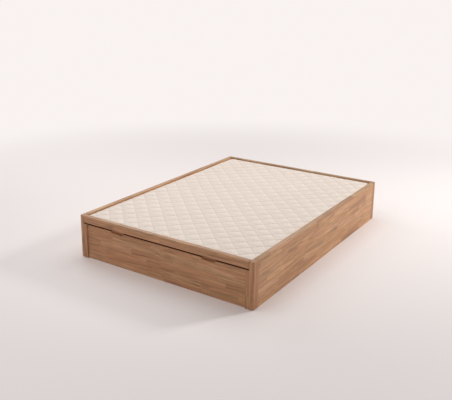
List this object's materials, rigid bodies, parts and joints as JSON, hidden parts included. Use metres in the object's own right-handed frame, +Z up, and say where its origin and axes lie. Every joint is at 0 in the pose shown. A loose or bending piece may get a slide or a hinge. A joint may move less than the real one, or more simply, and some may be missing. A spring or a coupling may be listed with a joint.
{
  "type": "lift-up storage bed base",
  "caption": "Low staved-wood bed box with a diamond-quilted lid that lifts at the foot on gas springs, with finger notches under its front rail.",
  "frame": {"origin": "middle of the base in plan, on the floor", "axes": "+Z up, -Y towards the foot end with the finger notches, +Y towards the head, +X to the right seen from the foot"},
  "size_m": [1.43, 1.96, 0.315],
  "materials": {
    "post_wood": "matt oiled, upright grain",
    "side_wood": "matt oiled, staved, grain along the side",
    "foot_wood": "matt oiled, staved, grain across the foot",
    "rail_wood": "matt oiled, grain along the rail",
    "inner_wood": "planed softwood, raw",
    "floor_panel": "smooth fibreboard",
    "lid_panel": "hardboard",
    "dowel_wood": "raw beech",
    "quilt_fabric": "cream quilted cloth",
    "frame_steel": "satin dark grey powder coat",
    "mechanism_steel": "satin black",
    "zinc": "bright zinc plate",
    "spring_black": "gloss black",
    "rod_chrome": "polished",
    "rubber": "matt"
  },
  "bodies": {
    "box": {"bearer_feet": "rubber", "bracket_screws": "zinc", "centre_bearer": "inner_wood", "corner_brackets": "zinc", "corner_post_foot_left": "post_wood", "corner_post_foot_right": "post_wood", "corner_post_head_left": "post_wood", "corner_post_head_right": "post_wood", "cross_bearers": "inner_wood", "floor_board_foot": "floor_panel", "floor_board_head": "floor_panel", "floor_board_middle": "floor_panel", "foot_batten": "inner_wood", "foot_board_left": "foot_wood", "foot_board_right": "foot_wood", "foot_ledger": "inner_wood", "head_board": "side_wood", "head_ledger": "inner_wood", "joint_dowels": "dowel_wood", "ledge_screws": "zinc", "ledger_screws": "zinc", "lid_ledge_left": "inner_wood", "lid_ledge_right": "inner_wood", "lower_pin_left": "zinc", "lower_pin_right": "zinc", "mechanism_plate_left": "mechanism_steel", "mechanism_plate_right": "mechanism_steel", "pivot_bolt_left": "zinc", "pivot_bolt_right": "zinc", "plate_screws": "zinc", "rest_pads": "rubber", "side_board_left": "side_wood", "side_board_right": "side_wood", "side_ledger_left": "inner_wood", "side_ledger_right": "inner_wood"},
    "lid": {"lid_rail": "rail_wood", "rail_screws": "zinc", "frame_side_tube_left": "frame_steel", "frame_side_tube_right": "frame_steel", "frame_foot_tube": "frame_steel", "frame_head_tube": "frame_steel", "frame_cross_tube_1": "frame_steel", "frame_cross_tube_2": "frame_steel", "frame_cross_tube_3": "frame_steel", "lid_board_foot": "lid_panel", "lid_board_head": "lid_panel", "quilted_pad": "quilt_fabric", "hinge_arm_left": "mechanism_steel", "hinge_arm_right": "mechanism_steel", "arm_bolts": "zinc"},
    "cylinder_left": {"gas_cylinder_left": "spring_black"},
    "rod_left": {"gas_rod_left": "rod_chrome", "upper_pin_left": "zinc"},
    "cylinder_right": {"gas_cylinder_right": "spring_black"},
    "rod_right": {"gas_rod_right": "rod_chrome", "upper_pin_right": "zinc"}
  },
  "joints": [
    {"name": "lid_hinge", "type": "hinge", "parent": "box", "child": "lid", "pos_m": [0, 0.726, 0.244], "axis": [-1, 0, 0], "range_deg": [0, 38]},
    {"name": "cylinder_swing_left", "type": "hinge", "parent": "box", "child": "cylinder_left", "pos_m": [-0.655, 0.616, 0.058], "axis": [-1, 0, 0], "range_deg": [0, 19.2]},
    {"name": "rod_slide_left", "type": "slide", "parent": "cylinder_left", "child": "rod_left", "axis": [0, -0.4951, 0.8688], "range_m": [0, 0.113]},
    {"name": "cylinder_swing_right", "type": "hinge", "parent": "box", "child": "cylinder_right", "pos_m": [0.655, 0.616, 0.058], "axis": [-1, 0, 0], "range_deg": [0, 19.2]},
    {"name": "rod_slide_right", "type": "slide", "parent": "cylinder_right", "child": "rod_right", "axis": [0, -0.4951, 0.8688], "range_m": [0, 0.113]}
  ],
  "couplings": [
    {"joint": "cylinder_swing_left", "follows": "lid_hinge", "ratio": 0.49972},
    {"joint": "rod_slide_left", "follows": "lid_hinge", "m_per_rad": 0.16999},
    {"joint": "cylinder_swing_right", "follows": "lid_hinge", "ratio": 0.49972},
    {"joint": "rod_slide_right", "follows": "lid_hinge", "m_per_rad": 0.16999}
  ]
}
